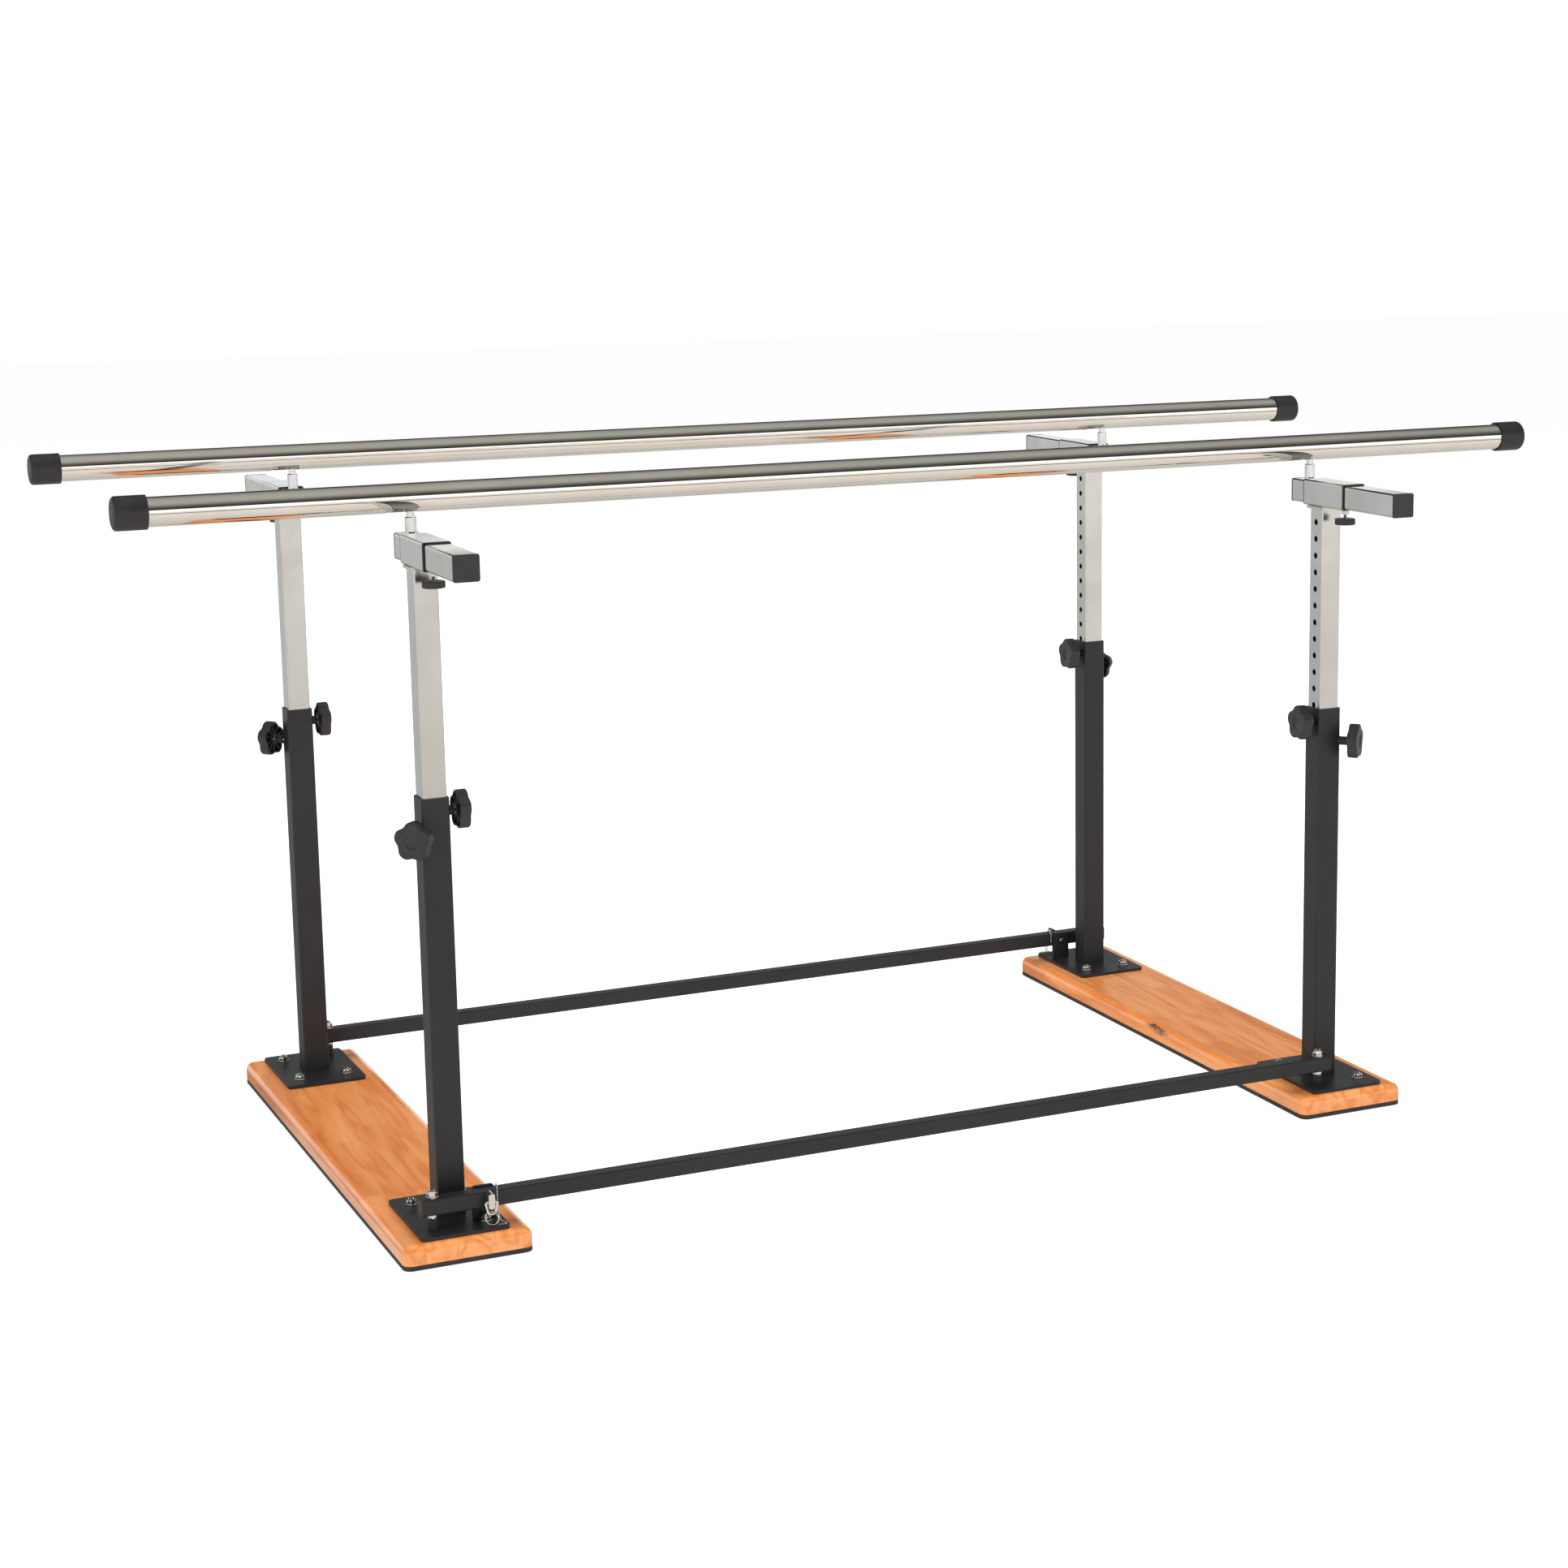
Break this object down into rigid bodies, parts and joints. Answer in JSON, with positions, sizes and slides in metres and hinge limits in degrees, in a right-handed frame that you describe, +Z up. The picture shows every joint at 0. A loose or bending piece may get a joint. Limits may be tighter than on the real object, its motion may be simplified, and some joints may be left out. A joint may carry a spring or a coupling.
{
  "type": "folding parallel bars",
  "caption": "Folding parallel bars: handrails on telescoping posts that stand on floor boards, with height and width clamps and spreader bars that fold the frames together.",
  "frame": {"origin": "on the floor, midway between the frames and between the handrails", "axes": "+X along the handrails, +Y across them, +Z up"},
  "size_m": [2.124, 1.14, 1.0127],
  "materials": {
    "polished_steel": "polished stainless tube",
    "chrome_stud": "bright chrome",
    "zinc_hardware": "bright zinc plate",
    "black_powder_coat": "satin powder coat",
    "black_plastic": "satin moulded plastic",
    "black_rubber": "matt rubber",
    "varnished_wood": "clear varnish over jointed laminate"
  },
  "bodies": {
    "root": {"left_board": "varnished_wood", "left_floor_mat": "black_rubber", "left_base_bolts": "zinc_hardware", "left_post_bushes": "black_plastic", "front_left_base_plate": "black_powder_coat", "front_left_outer_post": "black_powder_coat", "rear_left_base_plate": "black_powder_coat", "rear_left_outer_post": "black_powder_coat"},
    "right_frame": {"right_board": "varnished_wood", "right_floor_mat": "black_rubber", "right_base_bolts": "zinc_hardware", "right_post_bushes": "black_plastic", "front_right_base_plate": "black_powder_coat", "front_right_outer_post": "black_powder_coat", "rear_right_base_plate": "black_powder_coat", "rear_right_outer_post": "black_powder_coat"},
    "front_spreader": {"front_spreader_bar": "black_powder_coat", "front_pin_chain": "zinc_hardware"},
    "rear_spreader": {"rear_spreader_bar": "black_powder_coat", "rear_pin_chain": "zinc_hardware"},
    "front_left_post": {"front_left_inner_post": "polished_steel", "front_left_sleeve_collars": "black_plastic"},
    "front_left_head": {"front_left_crossbar": "polished_steel", "front_left_crossbar_plugs": "black_plastic", "front_left_rail_stud": "chrome_stud"},
    "front_left_height_clamp": {"front_left_height_knob": "black_plastic"},
    "front_left_post_clamp": {"front_left_post_clamp_knob": "black_plastic"},
    "front_left_width_clamp": {"front_left_width_knob": "black_plastic"},
    "front_right_post": {"front_right_inner_post": "polished_steel", "front_right_sleeve_collars": "black_plastic"},
    "front_right_head": {"front_right_crossbar": "polished_steel", "front_right_crossbar_plugs": "black_plastic", "front_right_rail_stud": "chrome_stud"},
    "front_right_height_clamp": {"front_right_height_knob": "black_plastic"},
    "front_right_post_clamp": {"front_right_post_clamp_knob": "black_plastic"},
    "front_right_width_clamp": {"front_right_width_knob": "black_plastic"},
    "front_rail": {"front_handrail": "polished_steel", "front_rail_caps": "black_rubber"},
    "front_pin": {"front_lock_pin": "zinc_hardware"},
    "front_pin_ring": {"front_lock_pin_ring": "zinc_hardware"},
    "rear_left_post": {"rear_left_inner_post": "polished_steel", "rear_left_sleeve_collars": "black_plastic"},
    "rear_left_head": {"rear_left_crossbar": "polished_steel", "rear_left_crossbar_plugs": "black_plastic", "rear_left_rail_stud": "chrome_stud"},
    "rear_left_height_clamp": {"rear_left_height_knob": "black_plastic"},
    "rear_left_post_clamp": {"rear_left_post_clamp_knob": "black_plastic"},
    "rear_left_width_clamp": {"rear_left_width_knob": "black_plastic"},
    "rear_right_post": {"rear_right_inner_post": "polished_steel", "rear_right_sleeve_collars": "black_plastic"},
    "rear_right_head": {"rear_right_crossbar": "polished_steel", "rear_right_crossbar_plugs": "black_plastic", "rear_right_rail_stud": "chrome_stud"},
    "rear_right_height_clamp": {"rear_right_height_knob": "black_plastic"},
    "rear_right_post_clamp": {"rear_right_post_clamp_knob": "black_plastic"},
    "rear_right_width_clamp": {"rear_right_width_knob": "black_plastic"},
    "rear_rail": {"rear_handrail": "polished_steel", "rear_rail_caps": "black_rubber"},
    "rear_pin": {"rear_lock_pin": "zinc_hardware"},
    "rear_pin_ring": {"rear_lock_pin_ring": "zinc_hardware"}
  },
  "joints": [
    {"name": "frame_fold", "type": "hinge", "parent": "root", "child": "front_spreader", "pos_m": [-0.721, -0.422, 0.0695], "axis": [0, 0, 1], "range_deg": [-80, 0]},
    {"name": "right_frame_swing", "type": "hinge", "parent": "front_spreader", "child": "right_frame", "pos_m": [0.649, -0.422, 0.0695], "axis": [0, 0, 1], "range_deg": [0, 80]},
    {"name": "rear_spreader_swing", "type": "hinge", "parent": "root", "child": "rear_spreader", "pos_m": [-0.649, 0.422, 0.0695], "axis": [0, 0, 1], "range_deg": [-80, 0]},
    {"name": "front_left_height", "type": "slide", "parent": "root", "child": "front_left_post", "axis": [0, 0, 1], "range_m": [-0.275, 0.025]},
    {"name": "front_left_width", "type": "slide", "parent": "front_left_post", "child": "front_left_head", "axis": [0, -1, 0], "range_m": [-0.118, 0.004]},
    {"name": "front_left_height_knob_turn", "type": "hinge", "parent": "root", "child": "front_left_height_clamp", "pos_m": [-0.6505, -0.368, 0.584], "axis": [1, 0, 0], "continuous": true},
    {"name": "front_left_post_clamp_knob_turn", "type": "hinge", "parent": "root", "child": "front_left_post_clamp", "pos_m": [-0.71682, -0.39982, 0.555], "axis": [-0.7071, -0.7071, 0], "continuous": true},
    {"name": "front_left_width_knob_turn", "type": "hinge", "parent": "front_left_post", "child": "front_left_width_clamp", "pos_m": [-0.685, -0.42, 0.889], "axis": [0, 0, 1], "continuous": true},
    {"name": "front_right_height", "type": "slide", "parent": "right_frame", "child": "front_right_post", "axis": [0, 0, 1], "range_m": [-0.275, 0.025]},
    {"name": "front_right_width", "type": "slide", "parent": "front_right_post", "child": "front_right_head", "axis": [0, -1, 0], "range_m": [-0.118, 0.004]},
    {"name": "front_right_height_knob_turn", "type": "hinge", "parent": "right_frame", "child": "front_right_height_clamp", "pos_m": [0.6505, -0.368, 0.584], "axis": [-1, 0, 0], "continuous": true},
    {"name": "front_right_post_clamp_knob_turn", "type": "hinge", "parent": "right_frame", "child": "front_right_post_clamp", "pos_m": [0.71682, -0.39982, 0.555], "axis": [0.7071, -0.7071, 0], "continuous": true},
    {"name": "front_right_width_knob_turn", "type": "hinge", "parent": "front_right_post", "child": "front_right_width_clamp", "pos_m": [0.685, -0.42, 0.889], "axis": [0, 0, 1], "continuous": true},
    {"name": "front_rail_swivel", "type": "hinge", "parent": "front_left_head", "child": "front_rail", "pos_m": [-0.685, -0.323, 0.9907], "axis": [0, 0, 1], "range_deg": [-80, 0]},
    {"name": "front_lock_pin_pull", "type": "slide", "parent": "front_spreader", "child": "front_pin", "axis": [0, -1, 0], "range_m": [0, 0.045]},
    {"name": "front_pin_ring_flip", "type": "hinge", "parent": "front_pin", "child": "front_pin_ring", "pos_m": [-0.648, -0.445, 0.0695], "axis": [-1, 0, 0], "range_deg": [0, 150]},
    {"name": "rear_left_height", "type": "slide", "parent": "root", "child": "rear_left_post", "axis": [0, 0, 1], "range_m": [-0.275, 0.025]},
    {"name": "rear_left_width", "type": "slide", "parent": "rear_left_post", "child": "rear_left_head", "axis": [0, 1, 0], "range_m": [-0.118, 0.004]},
    {"name": "rear_left_height_knob_turn", "type": "hinge", "parent": "root", "child": "rear_left_height_clamp", "pos_m": [-0.6505, 0.368, 0.584], "axis": [1, 0, 0], "continuous": true},
    {"name": "rear_left_post_clamp_knob_turn", "type": "hinge", "parent": "root", "child": "rear_left_post_clamp", "pos_m": [-0.71682, 0.39982, 0.555], "axis": [-0.7071, 0.7071, 0], "continuous": true},
    {"name": "rear_left_width_knob_turn", "type": "hinge", "parent": "rear_left_post", "child": "rear_left_width_clamp", "pos_m": [-0.685, 0.42, 0.889], "axis": [0, 0, 1], "continuous": true},
    {"name": "rear_right_height", "type": "slide", "parent": "right_frame", "child": "rear_right_post", "axis": [0, 0, 1], "range_m": [-0.275, 0.025]},
    {"name": "rear_right_width", "type": "slide", "parent": "rear_right_post", "child": "rear_right_head", "axis": [0, 1, 0], "range_m": [-0.118, 0.004]},
    {"name": "rear_right_height_knob_turn", "type": "hinge", "parent": "right_frame", "child": "rear_right_height_clamp", "pos_m": [0.6505, 0.368, 0.584], "axis": [-1, 0, 0], "continuous": true},
    {"name": "rear_right_post_clamp_knob_turn", "type": "hinge", "parent": "right_frame", "child": "rear_right_post_clamp", "pos_m": [0.71682, 0.39982, 0.555], "axis": [0.7071, 0.7071, 0], "continuous": true},
    {"name": "rear_right_width_knob_turn", "type": "hinge", "parent": "rear_right_post", "child": "rear_right_width_clamp", "pos_m": [0.685, 0.42, 0.889], "axis": [0, 0, 1], "continuous": true},
    {"name": "rear_rail_swivel", "type": "hinge", "parent": "rear_left_head", "child": "rear_rail", "pos_m": [-0.685, 0.323, 0.9907], "axis": [0, 0, 1], "range_deg": [-80, 0]},
    {"name": "rear_lock_pin_pull", "type": "slide", "parent": "rear_spreader", "child": "rear_pin", "axis": [0, 1, 0], "range_m": [0, 0.045]},
    {"name": "rear_pin_ring_flip", "type": "hinge", "parent": "rear_pin", "child": "rear_pin_ring", "pos_m": [0.648, 0.445, 0.0695], "axis": [1, 0, 0], "range_deg": [0, 150]}
  ],
  "couplings": [
    {"joint": "right_frame_swing", "follows": "frame_fold", "ratio": -1},
    {"joint": "rear_spreader_swing", "follows": "frame_fold", "ratio": 1},
    {"joint": "front_right_height", "follows": "front_left_height", "ratio": 1},
    {"joint": "front_right_width", "follows": "front_left_width", "ratio": 1},
    {"joint": "front_rail_swivel", "follows": "frame_fold", "ratio": 1},
    {"joint": "rear_right_height", "follows": "rear_left_height", "ratio": 1},
    {"joint": "rear_right_width", "follows": "rear_left_width", "ratio": 1},
    {"joint": "rear_rail_swivel", "follows": "frame_fold", "ratio": 1}
  ]
}
